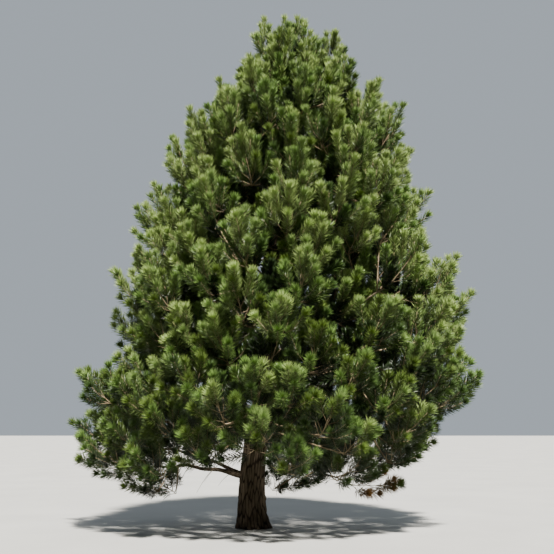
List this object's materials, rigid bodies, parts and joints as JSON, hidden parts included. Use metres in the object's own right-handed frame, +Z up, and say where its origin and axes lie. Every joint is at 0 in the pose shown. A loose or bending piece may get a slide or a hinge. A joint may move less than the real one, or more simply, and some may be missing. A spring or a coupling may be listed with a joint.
{
  "type": "austrian pine tree",
  "caption": "Open-grown pine with a leaning, flared trunk, whorled boughs sweeping nearly to the ground and a full, rounded cone of upswept needle sprays.",
  "frame": {"origin": "the middle of the trunk's flat cut at ground level", "axes": "+Z up the tree, +X to the right and +Y away from someone who sees the tree as in the picture"},
  "size_m": [6.4435, 6.0594, 8.5358],
  "materials": {
    "trunk_bark": "deeply fissured bark plates",
    "limb_bark": "rough, finely scaled bark",
    "needles": "satin evergreen needles"
  },
  "bodies": {
    "root": {"trunk": "trunk_bark", "bough_low_left": "limb_bark", "bough_low_left_fork": "limb_bark", "bough_low_right": "limb_bark", "bough_skirt_1": "limb_bark", "bough_skirt_2": "limb_bark", "bough_skirt_3": "limb_bark", "bough_skirt_4": "limb_bark", "bough_skirt_5": "limb_bark", "bough_lower_1": "limb_bark", "bough_lower_2": "limb_bark", "bough_lower_3": "limb_bark", "bough_lower_4": "limb_bark", "bough_lower_5": "limb_bark", "bough_lower_6": "limb_bark", "bough_middle_1": "limb_bark", "bough_middle_2": "limb_bark", "bough_middle_3": "limb_bark", "bough_middle_4": "limb_bark", "bough_middle_5": "limb_bark", "bough_upper_1": "limb_bark", "bough_upper_2": "limb_bark", "bough_upper_3": "limb_bark", "bough_upper_4": "limb_bark", "needles_low_left": "needles", "needles_low_left_fork": "needles", "needles_low_right": "needles", "needles_skirt_1": "needles", "needles_skirt_2": "needles", "needles_skirt_3": "needles", "needles_skirt_4": "needles", "needles_skirt_5": "needles", "needles_lower_1": "needles", "needles_lower_2": "needles", "needles_lower_3": "needles", "needles_lower_4": "needles", "needles_lower_5": "needles", "needles_lower_6": "needles", "needles_middle_1": "needles", "needles_middle_2": "needles", "needles_middle_3": "needles", "needles_middle_4": "needles", "needles_middle_5": "needles", "needles_upper_1": "needles", "needles_upper_2": "needles", "needles_upper_3": "needles", "needles_upper_4": "needles", "needles_high_1": "needles", "needles_high_2": "needles", "needles_high_3": "needles", "needles_high_4": "needles", "needles_shoulder_1": "needles", "needles_shoulder_2": "needles", "needles_shoulder_3": "needles", "needles_shoulder_4": "needles", "needles_top_1": "needles", "needles_top_2": "needles", "needles_top_3": "needles", "needles_top_4": "needles", "needles_leader": "needles"}
  },
  "joints": []
}
